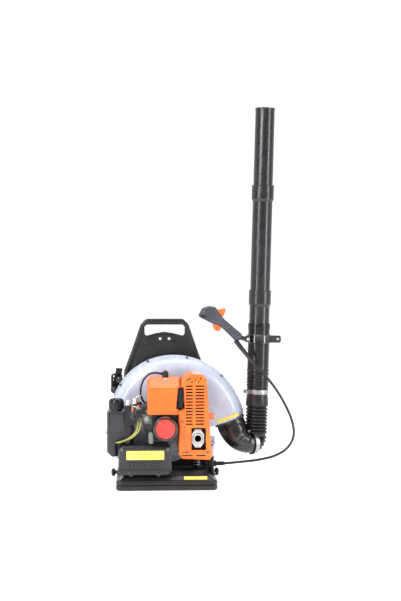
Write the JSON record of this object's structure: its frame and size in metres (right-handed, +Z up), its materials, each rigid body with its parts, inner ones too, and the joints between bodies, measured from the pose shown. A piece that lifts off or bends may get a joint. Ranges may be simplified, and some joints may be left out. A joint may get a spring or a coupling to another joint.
{
  "type": "backpack leaf blower",
  "caption": "Backpack leaf blower with a two-stroke engine, spiral fan casing, harness frame and an upright swivel blower tube with a throttle grip.",
  "frame": {"origin": "centre of the underside of the back frame's base, where it stands", "axes": "+Z up, +Y towards the wearer's back, +X towards the blower tube"},
  "size_m": [0.5693, 0.3613, 1.1404],
  "materials": {
    "frame_plastic": "fine moulded grain",
    "black_plastic": "satin black",
    "volute_plastic": "pale translucent",
    "orange_plastic": "smooth orange",
    "grip_plastic": "soft grain",
    "tank_plastic": "blow moulded",
    "black_rubber": "matt rubber",
    "hose_rubber": "clear fuel hose",
    "bulb_rubber": "translucent",
    "steel": "zinc plated",
    "spring_steel": "black oxide",
    "cast_alloy": "as cast",
    "rod_steel": "forged",
    "porcelain": "glazed",
    "filter_foam": "open foam",
    "webbing": "woven polyester",
    "pad_fabric": "padded mesh",
    "pull_plastic": "grey green"
  },
  "bodies": {
    "machine": {"back_frame": "frame_plastic", "vibration_springs": "spring_steel", "spring_seats": "black_plastic", "back_pad": "pad_fabric", "strap_buckles": "black_plastic", "shoulder_strap_left": "webbing", "shoulder_strap_right": "webbing", "fan_case_front": "volute_plastic", "fan_case_rear": "volute_plastic", "intake_grille": "black_plastic", "elbow_pipe": "black_plastic", "cable_gland": "black_plastic", "throttle_cable": "black_rubber", "crankcase_front": "cast_alloy", "crankcase_rear": "cast_alloy", "crank_bearings": "steel", "connecting_rod": "rod_steel", "rod_pins": "steel", "piston": "cast_alloy", "cylinder": "cast_alloy", "spark_plug": "porcelain", "plug_cap": "black_rubber", "ignition_lead": "black_rubber", "ignition_coil": "black_plastic", "carburetor": "cast_alloy", "intake_duct": "black_plastic", "air_cleaner_cover": "black_plastic", "air_cleaner_base": "black_plastic", "filter_element": "filter_foam", "fuel_tank": "tank_plastic", "fuel_hoses": "hose_rubber", "muffler": "steel", "exhaust_outlet": "steel", "muffler_cover": "orange_plastic", "cylinder_cover": "orange_plastic", "heat_shield": "black_plastic", "recoil_housing": "black_plastic", "cover_screws": "steel"},
    "tube": {"bellows": "black_rubber", "band_clamps": "steel", "swivel_pipe": "black_plastic", "handle_clamp": "black_plastic", "clamp_bolt": "black_plastic", "grip_front_shell": "grip_plastic", "grip_rear_shell": "grip_plastic", "grip_fasteners": "steel"},
    "pipe_1": {"straight_pipe_1": "black_plastic"},
    "pipe_2": {"straight_pipe_2": "black_plastic"},
    "nozzle": {"nozzle_pipe": "black_plastic"},
    "trigger": {"trigger": "orange_plastic"},
    "cruise_lever": {"cruise_lever": "orange_plastic"},
    "crank": {"crankshaft": "steel", "flywheel": "cast_alloy", "fan": "black_plastic"},
    "starter_reel": {"starter_reel": "black_plastic", "starter_rope": "webbing"},
    "pull_handle": {"pull_handle": "pull_plastic"},
    "choke_lever": {"choke_lever": "steel"},
    "primer_bulb": {"primer_bulb": "bulb_rubber"},
    "fuel_cap": {"fuel_cap": "black_plastic"}
  },
  "joints": [
    {"name": "tube_swivel", "type": "hinge", "parent": "machine", "child": "tube", "pos_m": [0.26, 0.048, 0.112], "axis": [-0.9026, -0.4305, 0], "range_deg": [-90, 8], "deforming": ["throttle_cable"]},
    {"name": "pipe_1_lock", "type": "hinge", "parent": "tube", "child": "pipe_1", "pos_m": [0.28897, 0.0573, 0.46187], "axis": [0.0271, 0, 0.9996], "range_deg": [0, 25]},
    {"name": "pipe_2_lock", "type": "hinge", "parent": "pipe_1", "child": "pipe_2", "pos_m": [0.29167, 0.0573, 0.56184], "axis": [0.0271, 0, 0.9996], "range_deg": [0, 25]},
    {"name": "nozzle_lock", "type": "hinge", "parent": "pipe_2", "child": "nozzle", "pos_m": [0.3006, 0.0573, 0.89171], "axis": [0.0271, 0, 0.9996], "range_deg": [0, 25]},
    {"name": "trigger_pull", "type": "hinge", "parent": "tube", "child": "trigger", "pos_m": [0.15, 0.02, 0.493], "axis": [0, -1, 0], "range_deg": [0, 18], "stiffness_Nm_per_rad": 0.6, "springref_deg": -11.46},
    {"name": "cruise_set", "type": "hinge", "parent": "tube", "child": "cruise_lever", "pos_m": [0.161, 0.02, 0.505], "axis": [0, 1, 0], "range_deg": [0, 35]},
    {"name": "crank_spin", "type": "hinge", "parent": "machine", "child": "crank", "pos_m": [-0.004, 0, 0.18], "axis": [0, 1, 0], "continuous": true},
    {"name": "reel_spin", "type": "hinge", "parent": "machine", "child": "starter_reel", "pos_m": [-0.004, -0.132, 0.18], "axis": [0, 1, 0], "range_deg": [0, 1370], "stiffness_Nm_per_rad": 0.004, "springref_deg": -171.89},
    {"name": "starter_pull", "type": "slide", "parent": "machine", "child": "pull_handle", "axis": [-1, 0, 0], "range_m": [0, 0.6]},
    {"name": "choke_turn", "type": "hinge", "parent": "machine", "child": "choke_lever", "pos_m": [-0.066, -0.08, 0.236], "axis": [0, 1, 0], "range_deg": [0, 45]},
    {"name": "primer_press", "type": "slide", "parent": "machine", "child": "primer_bulb", "axis": [0, 1, 0], "range_m": [0, 0.004], "stiffness_N_per_m": 1500},
    {"name": "cap_turn", "type": "hinge", "parent": "machine", "child": "fuel_cap", "pos_m": [-0.148, -0.056, 0.245], "axis": [0, 0, 1], "range_deg": [0, 540]}
  ],
  "couplings": [
    {"joint": "starter_pull", "follows": "reel_spin", "m_per_rad": 0.025}
  ]
}
